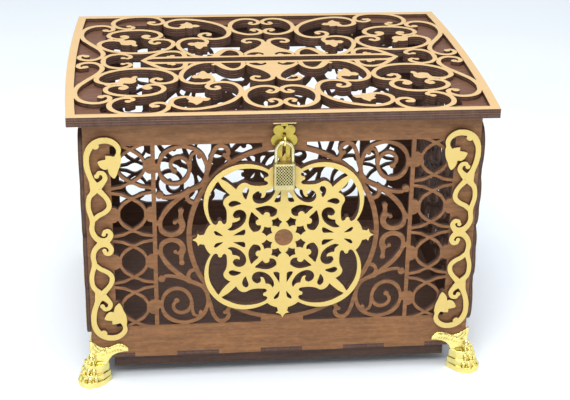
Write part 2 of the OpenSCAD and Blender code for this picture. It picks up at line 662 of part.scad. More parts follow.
module hasp_pin() {
  color(brass) translate([hasp_x - 9.2, HKY, HKZ]) rotate([0, 90, 0]) cylinder(r = 0.6, h = 18.4, $fn = 24);
}

module hasp_screws() {
  color(brass) for (s = [-1, 1]) translate([hasp_x + s*6, YF - 7.9, ZW - 0.9]) screw(4.3, 0.6);
}

// the leaf hangs between the board and the shackle; its slot runs out at the lower end
module hasp_leaf_2d() {
  difference() {
    union() {
      translate([-2.85, -3]) square([5.7, 2.4]);
      dot(-4.6, -6.4, 4.2, 24);
      dot(4.6, -6.4, 4.2, 24);
      translate([-5, -29.6]) square([10, 24]);
      dot(-5.2, -15, 5.3, 28);
      dot(5.2, -15, 5.3, 28);
      dot(-2.5, -29, 2.5, 20);
      dot(2.5, -29, 2.5, 20);
    }
    dot(0, -9.6, 1.45, 20);
    translate([-1.45, -40]) square([2.9, 30.4]);
  }
}

module hasp_leaf() {
  color(bright) difference() {
    union() {
      translate([hasp_x, HKY + 0.4, HKZ]) rotate([90, 0, 0]) linear_extrude(height = 0.8) hasp_leaf_2d();
      translate([hasp_x - 2.85, HKY, HKZ]) rotate([0, 90, 0]) cylinder(r = 1.4, h = 5.7, $fn = 32);
    }
    translate([hasp_x - 4, HKY, HKZ]) rotate([0, 90, 0]) cylinder(r = 0.65, h = 8, $fn = 24);
  }
}

LZ = ZB + 156;
LR = 6.7;
AZ = SZ - 3.9 + 1 + 1.4 + 0.15 - LR;

module shackle() {
  color(brass) translate([hasp_x, YK, 0]) {
    translate([0, 0, AZ]) rotate([90, 0, 0]) rotate_extrude(angle = 180, $fn = 64)
      translate([LR, 0]) circle(r = 1.4, $fn = 24);
    translate([-LR, 0, LZ + 5]) cylinder(r = 1.4, h = AZ - LZ - 5, $fn = 24);
    translate([LR, 0, LZ + lock_h - 5]) cylinder(r = 1.4, h = AZ - LZ - lock_h + 5, $fn = 24);
  }
}

module lock_body() {
  color(brass) translate([hasp_x, YK, LZ]) difference() {
    linear_extrude(height = lock_h) offset(r = 2, $fn = 24) square([lock_w - 4, lock_t - 4], center = true);
    translate([-LR, 0, 4.5]) cylinder(r = 1.46, h = lock_h, $fn = 24);
    translate([LR, 0, lock_h - 5.5]) cylinder(r = 1.46, h = 8, $fn = 24);
    translate([0, 0, -1]) cylinder(r = 2.56, h = 11, $fn = 32);
  }
}

module lock_plug() {
  color(brass) translate([hasp_x, YK, LZ]) difference() {
    cylinder(r = 2.5, h = 9.9, $fn = 32);
    translate([-0.4, -1.6, -1]) cube([0.8, 3.2, 7]);
  }
}

front_panel();
back_panel();
left_side_panel();
right_side_panel();
floor_panel();
base_rail_front();
base_rail_back();
base_rail_left();
base_rail_right();
medallion_overlay();
medallion_disc();
front_column_left();
front_column_right();
left_side_column_front();
left_side_column_rear();
right_side_column_front();
right_side_column_rear();
foot_front_left();
foot_front_right();
foot_rear_left();
foot_rear_right();
lid_base();
lid_fretwork();
hinge_body_leaf_left();
hinge_body_leaf_right();
hinge_lid_leaf_left();
hinge_lid_leaf_right();
hinge_pin_left();
hinge_pin_right();
hinge_body_screws();
hinge_lid_screws();
staple_plate();
staple();
staple_screws();
hasp_plate();
hasp_pin();
hasp_screws();
hasp_leaf();
shackle();
lock_body();
lock_plug();
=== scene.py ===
import math

import bmesh
import bpy
import numpy as np
from mathutils import Matrix, Vector
from mathutils.geometry import delaunay_2d_cdt


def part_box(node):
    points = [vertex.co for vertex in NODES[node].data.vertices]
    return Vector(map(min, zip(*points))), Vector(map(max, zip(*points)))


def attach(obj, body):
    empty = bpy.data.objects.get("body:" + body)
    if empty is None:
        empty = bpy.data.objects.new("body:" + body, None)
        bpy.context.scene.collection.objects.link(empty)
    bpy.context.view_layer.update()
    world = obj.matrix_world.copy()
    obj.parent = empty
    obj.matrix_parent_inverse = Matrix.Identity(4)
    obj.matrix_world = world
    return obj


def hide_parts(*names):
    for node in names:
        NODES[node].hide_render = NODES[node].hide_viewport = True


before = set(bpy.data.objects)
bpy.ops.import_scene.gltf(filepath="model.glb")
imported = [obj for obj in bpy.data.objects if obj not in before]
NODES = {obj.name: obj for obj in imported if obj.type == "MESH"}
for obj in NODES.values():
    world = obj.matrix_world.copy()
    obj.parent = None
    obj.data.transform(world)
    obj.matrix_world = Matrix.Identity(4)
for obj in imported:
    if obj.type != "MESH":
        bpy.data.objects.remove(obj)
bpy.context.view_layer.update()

scene = bpy.context.scene
MM = 0.001
MICRON = 1e-6


# ---------------------------------------------------------------- materials
class Mat:
    """A node material under construction."""

    def __init__(self, name):
        self.mat = bpy.data.materials.new(name)
        self.mat.use_nodes = True
        self.tree = self.mat.node_tree
        self.bsdf = self.tree.nodes["Principled BSDF"]
        self.coord = self.tree.nodes.new("ShaderNodeTexCoord")

    def new(self, kind, **sockets):
        node = self.tree.nodes.new(kind)
        for key, value in sockets.items():
            node.inputs[key.replace("_", " ")].default_value = value
        return node

    def link(self, a, b):
        self.tree.links.new(a, b)

    def mapped(self, scale):
        m = self.new("ShaderNodeMapping")
        m.inputs["Scale"].default_value = scale
        self.link(self.coord.outputs["Object"], m.inputs["Vector"])
        return m.outputs["Vector"]

    def noise(self, scale, detail=6.0, rough=0.6, stretch=(1, 1, 1), distort=0.0):
        n = self.new("ShaderNodeTexNoise", Scale=scale, Detail=detail, Roughness=rough, Distortion=distort)
        self.link(self.mapped(stretch), n.inputs["Vector"])
        return n.outputs["Fac"]

    def ramp(self, fac, stops):
        r = self.new("ShaderNodeValToRGB")
        while len(r.color_ramp.elements) < len(stops):
            r.color_ramp.elements.new(0.5)
        for e, (pos, col) in zip(r.color_ramp.elements, stops):
            e.position = pos
            e.color = (*col, 1)
        self.link(fac, r.inputs["Fac"])
        return r.outputs["Color"]

    def mix(self, fac, a, b, mode="MIX"):
        m = self.tree.nodes.new("ShaderNodeMix")
        m.data_type = "RGBA"
        m.blend_type = mode
        for socket, value in ((m.inputs[0], fac), (m.inputs[6], a), (m.inputs[7], b)):
            if hasattr(value, "is_output"):
                self.link(value, socket)
            else:
                socket.default_value = value if isinstance(value, float) else (*value, 1)
        return m.outputs[2]

    def bump(self, height, strength, distance, under=None):
        b = self.new("ShaderNodeBump", Strength=strength, Distance=distance)
        self.link(height, b.inputs["Height"])
        if under is not None:
            self.link(under, b.inputs["Normal"])
        return b.outputs["Normal"]

    def finish(self, color=None, rough=None, normal=None, **fixed):
        if color is not None:
            self.link(color, self.bsdf.inputs["Base Color"])
        if rough is not None:
            self.link(rough, self.bsdf.inputs["Roughness"])
        if normal is not None:
            self.link(normal, self.bsdf.inputs["Normal"])
        for key, value in fixed.items():
            self.bsdf.inputs[key.replace("_", " ")].default_value = value
        return self.mat


def lin(r, g, b):
    """A colour given as 0-255 screen values, made linear."""
    return tuple(((v / 255 + 0.055) / 1.055) ** 2.4 if v > 10 else v / 255 / 12.92 for v in (r, g, b))


def gray(v):
    return (v, v, v)


def grain_stretch(axis, along, across):
    return tuple(along if k == axis else across for k in range(3))


def stained_ply(name, axis, light=(152, 106, 66), mid=(128, 88, 54), dark=(108, 72, 45)):
    """Stained birch face veneer: soft cloudy stain, faint short grain and small pale flecks."""
    m = Mat(name)
    streak = m.noise(1.0, 5.0, 0.6, grain_stretch(axis, 26, 300), 0.4)
    cloud = m.noise(34.0, 4.0, 0.6)
    mottle = m.noise(1.0, 3.0, 0.55, grain_stretch(axis, 190, 420))
    pores = m.noise(1.0, 2.0, 0.5, grain_stretch(axis, 260, 2200))
    base = m.ramp(streak, [(0.3, lin(*dark)), (0.5, lin(*mid)), (0.72, lin(*light))])
    base = m.mix(m.ramp(cloud, [(0.3, gray(0.45)), (0.7, gray(0.0))]), base, lin(*dark))
    base = m.mix(m.ramp(mottle, [(0.46, gray(0.0)), (0.74, gray(0.55))]), base, lin(*light))
    pore_tone = tuple(c * 0.6 for c in lin(*dark))
    base = m.mix(m.ramp(pores, [(0.6, gray(0.0)), (0.75, gray(0.4))]), base, pore_tone)
    rough = m.ramp(mottle, [(0.2, gray(0.62)), (0.8, gray(0.46))])
    normal = m.bump(pores, 0.2, 0.0002)
    normal = m.bump(streak, 0.08, 0.0004, normal)
    return m.finish(base, rough, normal, Specular_IOR_Level=0.3)


def burnt_edge(name, axis, start, thick):
    """A laser-cut plywood edge: dark smoked outer plies, a paler middle one, and the cut's fine lines."""
    m = Mat(name)
    place = m.tree.nodes.new("ShaderNodeSeparateXYZ")
    m.link(m.coord.outputs["Object"], place.inputs["Vector"])
    depth = m.tree.nodes.new("ShaderNodeMapRange")
    depth.inputs["From Min"].default_value = start
    depth.inputs["From Max"].default_value = start + thick
    m.link(place.outputs[axis], depth.inputs["Value"])
    soot = m.noise(150.0, 4.0, 0.6)
    lines = m.noise(1.0, 2.0, 0.5, grain_stretch(axis, 60, 900))
    outer, inner, glue = lin(86, 61, 50), lin(104, 77, 65), lin(66, 46, 38)
    plies = m.ramp(depth.outputs["Result"], [
        (0.0, outer), (0.27, outer), (0.32, glue), (0.37, inner), (0.63, inner), (0.68, glue), (0.73, outer),
        (1.0, outer)])
    base = m.mix(m.ramp(soot, [(0.3, gray(0.6)), (0.7, gray(0.0))]), plies, lin(60, 41, 34))
    base = m.mix(m.ramp(lines, [(0.5, gray(0.0)), (0.7, gray(0.35))]), base, lin(46, 31, 26))
    rough = m.ramp(soot, [(0.3, gray(0.7)), (0.7, gray(0.52))])
    return m.finish(base, rough, m.bump(lines, 0.2, 0.0002), Specular_IOR_Level=0.3)


def gold_paint(name, axis, tone, pale):
    """Matt pale gold paint on ply: nearly even, with the veneer's grain just showing through."""
    m = Mat(name)
    streak = m.noise(1.0, 4.0, 0.6, grain_stretch(axis, 14, 260), 0.2)
    cloud = m.noise(40.0, 3.0, 0.55)
    speck = m.noise(1900.0, 2.0, 0.5)
    base = m.ramp(streak, [(0.25, tuple(c * 0.95 for c in lin(*tone))), (0.6, lin(*tone))])
    base = m.mix(m.ramp(cloud, [(0.35, gray(0.0)), (0.8, gray(0.45))]), base, lin(*pale))
    base = m.mix(m.ramp(speck, [(0.55, gray(0.0)), (0.8, gray(0.5))]), base, lin(*pale))
    rough = m.ramp(speck, [(0.3, gray(0.52)), (0.7, gray(0.4))])
    normal = m.bump(streak, 0.05, 0.0003)
    normal = m.bump(speck, 0.08, 0.00008, normal)
    return m.finish(base, rough, normal, Metallic=0.08, Specular_IOR_Level=0.4)


def metal(name, light, dark, rough, scratch=0.1, clouds=90.0):
    """Plated metal: a polished colour with dull clouds, hairline scratches, and painted shade darkening the
    hollows.
    """
    m = Mat(name)
    dull = m.noise(clouds, 5.0, 0.6)
    hair = m.noise(1.0, 3.0, 0.6, (500, 5000, 900), 0.4)
    geometry = m.tree.nodes.new("ShaderNodeNewGeometry")
    # painted shade: concave spots (low pointiness) are darkened to stand in for the shade that falls in
    # hollows
    hollow = m.ramp(geometry.outputs["Pointiness"], [(0.44, gray(0.95)), (0.5, gray(0.0))])
    base = m.mix(m.ramp(dull, [(0.3, gray(0.0)), (0.75, gray(0.45))]), light, dark)
    base = m.mix(hollow, base, tuple(c * 0.3 for c in dark))
    r = m.ramp(dull, [(0.3, gray(rough)), (0.8, gray(min(1, rough + 0.16)))])
    return m.finish(base, r, m.bump(hair, scratch, 0.00005), Metallic=1.0)


BROWN_X = stained_ply("stained_ply_along_x", 0)
BROWN_Y = stained_ply("stained_ply_along_y", 1)
INSIDE = stained_ply("floor_face", 0, (104, 78, 66), (90, 66, 56), (76, 54, 46))
LID_BROWN = stained_ply("lid_base_face", 0, (124, 86, 66), (104, 70, 53), (86, 57, 44))
# painted shade: the walls' inner faces and the lid's underside get a darker copy of the stained ply, standing
# in for the shade inside the box
INNER_PAINTED_SHADE = stained_ply("inner_face_painted_shade", 0, (92, 64, 48), (78, 53, 41), (62, 42, 33))
# painted shade: the base rails and the floor's underside get a dark copy of the stained ply, standing in for
# the shadow under the box
RAIL_PAINTED_SHADE = stained_ply("rail_ply_painted_shade", 0, (84, 58, 46), (70, 48, 39), (56, 38, 32))
GOLD_X = gold_paint("gold_paint_along_x", 0, (209, 183, 106), (216, 192, 118))
GOLD_Z = gold_paint("gold_paint_along_z", 2, (209, 183, 106), (216, 192, 118))
# painted sheen: the lid's gold is the same paint as the front gold, given a paler, bluer tone that stands in
# for the white sheen seen at a grazing angle
GOLD_LID_PAINTED_SHEEN = gold_paint("gold_paint_lid_painted_sheen", 0, (201, 168, 118), (209, 178, 130))
PLATED = metal("bright_gold_plating", lin(246, 232, 150), lin(196, 172, 80), 0.14, 0.04, 120.0)
# painted shade: the hasp leaf's gold is darkened and olive to stand in for the lid's shadow falling on it
HASP_GOLD_PAINTED_SHADE = metal("hasp_gold_painted_shade", lin(186, 164, 78), lin(112, 96, 40), 0.24, 0.06, 100.0)
BRASS = metal("pressed_brass", lin(224, 200, 128), lin(176, 146, 84), 0.26)
LOCK = metal("satin_lock_brass", lin(206, 194, 142), lin(150, 138, 88), 0.28, 0.1, 140.0)
# painted shade: a near-black brass for the knurl's grooves, standing in for the shade in the pits
PIT = metal("lock_brass_painted_pit_shade", lin(74, 66, 36), lin(50, 44, 24), 0.45, 0.1, 300.0)
WIRE = metal("shackle_brass", lin(220, 210, 160), lin(160, 146, 96), 0.18, 0.06, 160.0)


# ---------------------------------------------------------------- boards
SAME_LEVEL = 2 * MICRON      # how far a corner of the highest face may lie below it
CLOSE_POINTS = 40 * MICRON   # points nearer than this count as one
STRAIGHT_TURN = 0.06         # degrees; less than this is no bend
CURVE_STEP = 9.0             # degrees turned by each short piece of a smoothed curve
MOST_PIECES = 8              # into which one facet is split
HANDLE = 0.35                # length of a curve's handle, as a share of its facet
HANDLE_LIMIT = 2.2           # a handle sees at most this many times the facet next to it
SHARP_EDGE = 38.0            # degrees; edges that turn more stay sharp in the shading
BEVEL = 0.00016              # width of a board's softened rim
GOLD_CORNER, PLY_CORNER = 50.0, 65.0   # degrees; corners that turn more stay sharp in the outline


def face_loops(obj, axis):
    """The outlines of a flat board on its highest face along axis: (u, v) lists, wood on the left."""
    u, v = [k for k in range(3) if k != axis]
    co = [p.co for p in obj.data.vertices]
    top = max(p[axis] for p in co)
    edges = {}
    for poly in obj.data.polygons:
        vs = [co[i] for i in poly.vertices]
        if any(abs(p[axis] - top) > SAME_LEVEL for p in vs):
            continue
        keys = [(round(p[u] / MICRON), round(p[v] / MICRON)) for p in vs]
        for a, b in zip(keys, keys[1:] + keys[:1]):
            if a == b:
                continue
            if (b, a) in edges:
                del edges[(b, a)]
            else:
                edges[(a, b)] = True
    out = {}
    for a, b in edges:
        out.setdefault(a, []).append(b)
    loops = []
    while out:
        start = next(iter(out))
        loop, here = [], start
        while True:
            loop.append(here)
            nxt = out[here].pop()
            if not out[here]:
                del out[here]
            here = nxt
            if here == start or here not in out:
                break
        if len(loop) > 2:
            loops.append([(x * MICRON, y * MICRON) for x, y in (loop[::-1] if axis == 1 else loop)])
    return loops


def tidy_loop(loop):
    """Drops points that sit on a straight stretch or on top of the one before."""
    pts = [np.array(p) for p in loop]
    kept = [p for i, p in enumerate(pts) if np.linalg.norm(p - pts[i - 1]) > CLOSE_POINTS]
    res = []
    for i, p in enumerate(kept):
        a = p - kept[i - 1]
        b = kept[(i + 1) % len(kept)] - p
        turn = abs(math.atan2(a[0] * b[1] - a[1] * b[0], a @ b))
        if turn > math.radians(STRAIGHT_TURN):
            res.append(p)
    return res


def smooth_loop(loop, corner):
    """Rounds the facets of an outline and keeps the corners that turn more than corner degrees."""
    p = tidy_loop(loop)
    n = len(p)
    if n < 3:
        return []
    d = [p[(i + 1) % n] - p[i] for i in range(n)]
    length = [np.linalg.norm(x) for x in d]
    d = [x / l for x, l in zip(d, length)]

    def angle(a, b):
        return math.atan2(a[0] * b[1] - a[1] * b[0], a @ b)

    tangent = []
    for i in range(n):
        a, b = d[i - 1], d[i]
        if abs(angle(a, b)) > math.radians(corner):
            tangent.append(None)
            continue
        t = a * length[i] + b * length[i - 1]
        tangent.append(t / np.linalg.norm(t))
    pts = []
    for i in range(n):
        j = (i + 1) % n
        t0 = tangent[i] if tangent[i] is not None else d[i]
        t1 = tangent[j] if tangent[j] is not None else d[i]
        bend = abs(angle(t0, d[i])) + abs(angle(d[i], t1))
        k = max(1, min(MOST_PIECES, math.ceil(math.degrees(bend) / CURVE_STEP)))
        reach0 = min(length[i], HANDLE_LIMIT * length[i - 1]) * HANDLE
        reach1 = min(length[i], HANDLE_LIMIT * length[j]) * HANDLE
        b0, b3 = p[i], p[j]
        b1, b2 = b0 + t0 * reach0, b3 - t1 * reach1
        for s in range(k):
            q = s / k
            r = 1 - q
            pts.append(b0 * r**3 + 3 * b1 * r * r * q + 3 * b2 * r * q * q + b3 * q**3)
    return pts


def add_object(name, mesh, body, mats, replaces=()):
    """Puts a mesh in the scene: its materials, its moving body, the CAD nodes it stands for."""
    obj = bpy.data.objects.new(name, mesh)
    scene.collection.objects.link(obj)
    for m in mats:
        mesh.materials.append(m)
    if replaces:
        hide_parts(*replaces)
    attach(obj, body)


def inset(points, by):
    """An outline moved sideways into the wood."""
    a = points - np.roll(points, 1, 0)
    b = np.roll(a, -1, 0)
    a = a / np.linalg.norm(a, axis=1)[:, None]
    b = b / np.linalg.norm(b, axis=1)[:, None]
    m = a + b
    m = m / np.maximum(np.linalg.norm(m, axis=1), 1e-6)[:, None]
    cosine = np.clip((m * a).sum(1), 0.45, 1)
    return points + np.stack((-m[:, 1], m[:, 0]), 1) * (by / cosine)[:, None]


def winding(points, loops):
    """How often the outlines go round each point; 1 is wood, 0 or less is a hole."""
    total = np.zeros(len(points), int)
    for q in loops:
        r = np.roll(q, -1, 0)
        x, y = points[:, :1], points[:, 1:]
        rising = (q[:, 1] <= y) & (r[:, 1] > y)
        falling = (q[:, 1] > y) & (r[:, 1] <= y)
        side = (r[:, 0] - q[:, 0]) * (y - q[:, 1]) - (x - q[:, 0]) * (r[:, 1] - q[:, 1])
        total += (rising & (side > 0)).sum(1) - (falling & (side < 0)).sum(1)
    return total


def board(node, axis, body, low_face, high_face=None, bevel=BEVEL, corner=PLY_CORNER):
    """A laser-cut board: the CAD outline made smooth, softened rims, burnt edges, a finish for each face."""
    low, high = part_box(node)
    u, v = [k for k in range(3) if k != axis]
    outline = []
    for loop in face_loops(NODES[node], axis):
        pts = smooth_loop(loop, corner)
        if len(pts) > 2:
            outline.append(np.clip(np.array(pts), (low[u], low[v]), (high[u], high[v])))
    rims = [inset(q, bevel) for q in outline]
    first = np.cumsum([0] + [len(q) for q in rims])
    total = int(first[-1])
    ring = []
    for q, start in zip(rims, first.tolist()):
        ring += [(start + i, start + (i + 1) % len(q)) for i in range(len(q))]
    rim_points = np.concatenate(rims)
    side_points = np.concatenate(outline)

    # the flat faces: triangles between the inset outlines, kept where the winding says wood
    spots, _, cells, origin, _, _ = delaunay_2d_cdt([Vector(c) for c in rim_points], ring, [], 0, 1e-8)
    spots = np.array([tuple(c) for c in spots])
    cells = np.array(cells)
    cells = cells[winding(spots[cells].mean(1), rims) > 0]
    crossings = [k for k, o in enumerate(origin) if not o]

    def at_height(points, height):
        block = np.empty((len(points), 3))
        block[:, u], block[:, v], block[:, axis] = points[:, 0], points[:, 1], height
        return block

    verts = [at_height(rim_points, low[axis]), at_height(side_points, low[axis] + bevel),
             at_height(side_points, high[axis] - bevel), at_height(rim_points, high[axis]),
             at_height(spots[crossings], low[axis]), at_height(spots[crossings], high[axis])]
    number = {k: 4 * total + i for i, k in enumerate(crossings)}
    below = {k: o[0] if o else number[k] for k, o in enumerate(origin)}
    above = {k: o[0] + 3 * total if o else number[k] + len(crossings) for k, o in enumerate(origin)}
    faces, kinds = [], []
    for cell in cells.tolist():
        faces += [[below[k] for k in cell][::-1], [above[k] for k in cell]]
        kinds += [0, 2]
    for band in range(3):
        for a, b in ring:
            faces.append([band * total + a, band * total + b, (band + 1) * total + b, (band + 1) * total + a])
            kinds.append(band)
    if axis == 1:
        faces = [f[::-1] for f in faces]
    mesh = bpy.data.meshes.new(node + "_board")
    mesh.from_pydata(np.concatenate(verts).tolist(), [], faces)
    mesh.polygons.foreach_set("material_index", kinds)
    mesh.polygons.foreach_set("use_smooth", [True] * len(faces))
    mesh.update()
    mesh.set_sharp_from_angle(angle=math.radians(SHARP_EDGE))
    edge = burnt_edge("burnt_edge_" + node, axis, low[axis], high[axis] - low[axis])
    add_object(node + "_board", mesh, body, (low_face, edge, high_face or low_face), (node,))


board("front_panel", 1, "box", BROWN_X, INNER_PAINTED_SHADE)
board("back_panel", 1, "box", INNER_PAINTED_SHADE, BROWN_X)
board("left_side_panel", 0, "box", BROWN_Y, INNER_PAINTED_SHADE)
board("right_side_panel", 0, "box", INNER_PAINTED_SHADE, BROWN_Y)
board("floor_panel", 2, "box", RAIL_PAINTED_SHADE, INSIDE)
for name in ("base_rail_front", "base_rail_back"):
    board(name, 1, "box", RAIL_PAINTED_SHADE)
for name in ("base_rail_left", "base_rail_right"):
    board(name, 0, "box", RAIL_PAINTED_SHADE)
board("medallion_overlay", 1, "box", GOLD_X, corner=GOLD_CORNER)
board("medallion_disc", 1, "box", BROWN_X)
for name in ("front_column_left", "front_column_right"):
    board(name, 1, "box", GOLD_Z, corner=GOLD_CORNER)
for side in ("left", "right"):
    for end in ("front", "rear"):
        board(f"{side}_side_column_{end}", 0, "box", GOLD_Z, corner=GOLD_CORNER)
board("lid_base", 2, "lid", INNER_PAINTED_SHADE, LID_BROWN, bevel=0.00022)
board("lid_fretwork", 2, "lid", GOLD_LID_PAINTED_SHEEN, bevel=0.0002, corner=GOLD_CORNER)


# ---------------------------------------------------------------- lion paw feet
STRAIGHT_ON = 225.0   # degrees; the way the front left paw points, out of the box's corner
SOLE = -22.0          # mm below the box's underside
ARM_THICK = 1.7
VOXEL = 0.00036
SWAP_XY = Matrix(((0, 1, 0, 0), (1, 0, 0, 0), (0, 0, 1, 0), (0, 0, 0, 1)))
SLAB = [(15.5, 1.5), (9, -8), (4, -12), (-4, -13.4), (-10, -10), (-13.4, -4), (-12, 4), (-8, 9),
        (1.5, 15.5), (7, 7)]
FOOT = [(14.8, 0.8), (8.5, -7), (3, -9.6), (-3.4, -10), (-8, -8), (-10, -3.4), (-9.6, 3), (-7, 8.5),
        (0.8, 14.8), (7, 7)]
ANKLE = [(13.6, 0.4), (8, -5.5), (2, -7.4), (-3, -7.2), (-6, -6), (-7.2, -3), (-7.4, 2), (-5.5, 8),
         (0.4, 13.6), (6, 6)]
ARM = [(-2.4, 17.6), (0.4, 16.2), (3.2, 13.8), (6.6, 11.6), (10, 10.4), (13.6, 10.8), (17.5, 12.8),
       (21.5, 14), (25.5, 13.5), (28.4, 11.4), (29.9, 8.6), (29.9, 6.3), (26, 6.1), (21, 5.2), (17, 3.2),
       (14, -0.4), (12.4, -4), (-1, -4)]


def foot_mesh():
    """One paw for the front left corner, in mm, with the box's corner edge and underside at the origin."""
    bm = bmesh.new()

    def prism(points, z0, z1, matrix=Matrix.Identity(4)):
        low = [bm.verts.new(matrix @ Vector((x * MM, y * MM, z0 * MM))) for x, y in points]
        high = [bm.verts.new(matrix @ Vector((x * MM, y * MM, z1 * MM))) for x, y in points]
        bm.faces.new(low[::-1])
        bm.faces.new(high)
        for i in range(len(points)):
            j = (i + 1) % len(points)
            bm.faces.new((low[i], low[j], high[j], high[i]))

    def ball(center, size, turned=Matrix.Identity(4), detail=3):
        shape = Matrix.Diagonal((*(s * MM for s in size), 1))
        matrix = Matrix.Translation(Vector(center) * MM) @ turned @ shape
        bmesh.ops.create_icosphere(bm, subdivisions=detail, radius=1, matrix=matrix)

    def toe(heading, reach, z, size, tilt):
        a = math.radians(heading)
        turned = Matrix.Rotation(a, 4, "Z") @ Matrix.Rotation(math.radians(tilt), 4, "Y")
        ball((reach * math.cos(a), reach * math.sin(a), z), size, turned)

    def arm(swapped):
        """The arm along the front wall, or swapped along the side wall: plate, ridge, veins and leaves."""
        flip = SWAP_XY if swapped else Matrix.Identity(4)
        upright = flip @ Matrix.Rotation(math.radians(90), 4, "X")

        def lobe(x, z, out, size, lean=0.0, detail=2):
            along, across, tall = size
            tilt = Matrix.Rotation(math.radians(-lean if swapped else lean), 4, "X" if swapped else "Y")
            shape = (across, along, tall) if swapped else (along, across, tall)
            ball(upright @ Vector((x, z, out)), shape, tilt, detail)

        prism(ARM, 0.0, ARM_THICK, upright)
        for x, z, swell in ((4.4, 5, 0.5), (9, 6.6, 0.8), (14, 8.4, 1.1), (19, 10.2, 1.15), (23.5, 10.6, 1.0),
                            (27, 9.2, 0.9)):
            lobe(x, z, 1.5, (3.1, 1.0, 1.7 + swell * 0.4), detail=3)
        for i in range(9):
            rise = 4.6 * math.sin(math.radians(12 + i * 13))
            lobe(7.5 + i * 2.35, 4.8 + rise, 1.9, (0.55, 0.7, 2.9), -24)
        for x, z, lean in ((-0.6, 13, 6), (2.6, 10.6, -24), (5.2, 8, -44)):
            lobe(x, z, 1.6, (1.25, 1.1, 4.2), lean)

    prism(SLAB, SOLE, -17.2)
    prism(FOOT, -18, -11.6)
    prism(ANKLE, -12.4, -4)
    for k in range(-2, 3):
        # the lower row: five toes, each with its claw
        heading = STRAIGHT_ON + k * 29
        reach = 9.6 - 0.4 * abs(k)
        toe(heading, reach, -14.8, (3.6, 1.95, 2.3), 36)
        toe(heading, reach + 2.1, -16.9, (1.7, 1.25, 1.9), 28)
    for k in range(4):
        # the upper row: four toes with claws, and a tuft above each
        heading = STRAIGHT_ON + (k - 1.5) * 33
        toe(heading, 7.2, -8.4, (3.3, 1.75, 2.3), 36)
        toe(heading, 8.9, -10.3, (1.5, 1.1, 1.6), 28)
        toe(heading, 4.6, -3.4, (3.4, 1.5, 3.6), 58)
    ball((-1.2, -1.2, -3), (4.2, 4.2, 8.5))
    arm(False)
    arm(True)

    mesh = bpy.data.meshes.new("paw_raw")
    bm.to_mesh(mesh)
    bm.free()
    obj = bpy.data.objects.new("paw_raw", mesh)
    scene.collection.objects.link(obj)
    remesh = obj.modifiers.new("remesh", "REMESH")
    remesh.mode = "VOXEL"
    remesh.voxel_size = VOXEL
    soften = obj.modifiers.new("soften", "SMOOTH")
    soften.factor = 0.5
    soften.iterations = 2
    bpy.context.view_layer.update()
    done = bpy.data.meshes.new_from_object(obj.evaluated_get(bpy.context.evaluated_depsgraph_get()))
    bpy.data.objects.remove(obj)
    return done


paw = foot_mesh()
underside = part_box("floor_panel")[0].z
for where, sx, sy in (("front_left", -1, -1), ("front_right", 1, -1),
                      ("rear_left", -1, 1), ("rear_right", 1, 1)):
    node = "foot_" + where
    low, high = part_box(node)
    wall_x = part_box("left_side_panel")[0].x if sx < 0 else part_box("right_side_panel")[1].x
    wall_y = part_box("front_panel")[0].y if sy < 0 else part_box("back_panel")[1].y
    mesh = paw.copy()
    co = np.empty(len(mesh.vertices) * 3)
    mesh.vertices.foreach_get("co", co)
    co = co.reshape(-1, 3) * (-sx, -sy, 1) + (wall_x, wall_y, underside)
    for k in range(3):
        co[:, k] = np.clip(co[:, k], low[k], high[k])
    mesh.vertices.foreach_set("co", co.ravel())
    if sx * sy < 0:
        mesh.flip_normals()
    for poly in mesh.polygons:
        poly.use_smooth = True
    mesh.update()
    add_object("paw_" + where, mesh, "box", (PLATED,), (node,))


# ---------------------------------------------------------------- hardware kept from the CAD
def dress(node, material, bevel=0.0, segments=2):
    """A CAD node that keeps its shape: new finish, softened rims."""
    obj = NODES[node]
    obj.data.materials.clear()
    obj.data.materials.append(material)
    for poly in obj.data.polygons:
        poly.material_index = 0
    if bevel:
        mod = obj.modifiers.new("rims", "BEVEL")
        mod.width = bevel
        mod.segments = segments
        mod.limit_method = "ANGLE"
        mod.angle_limit = math.radians(30)
        mod.use_clamp_overlap = True


for name in ("hinge_body_leaf_left", "hinge_body_leaf_right", "hinge_lid_leaf_left", "hinge_lid_leaf_right",
             "staple_plate", "hasp_plate"):
    dress(name, BRASS, 0.0001)
for name in ("hinge_pin_left", "hinge_pin_right", "hinge_body_screws", "hinge_lid_screws", "staple_screws",
             "hasp_screws", "hasp_pin"):
    dress(name, BRASS, 0.00006)
dress("staple", PLATED)
dress("hasp_leaf", HASP_GOLD_PAINTED_SHADE, 0.00018)
dress("shackle", WIRE)
dress("lock_body", LOCK, 0.0004, segments=3)
dress("lock_plug", BRASS, 0.00008)


# ---------------------------------------------------------------- knurled faces of the padlock
KNURL_WIDE, KNURL_TALL = 0.0023, 0.0026    # one diamond of the pattern
KNURL_DEEP = 0.0003
KNURL_SIDE, KNURL_BELOW, KNURL_ABOVE = 0.0017, 0.0038, 0.0013   # plain margins around it
KNURL_CELLS = 130, 150                     # grid across and up
PLAIN_CELLS, SLOPE_CELLS = 3, 2            # flat rim of the panel, and its slope down to the face
CLEARANCE = 0.00001                        # keeps the panel off the face under it


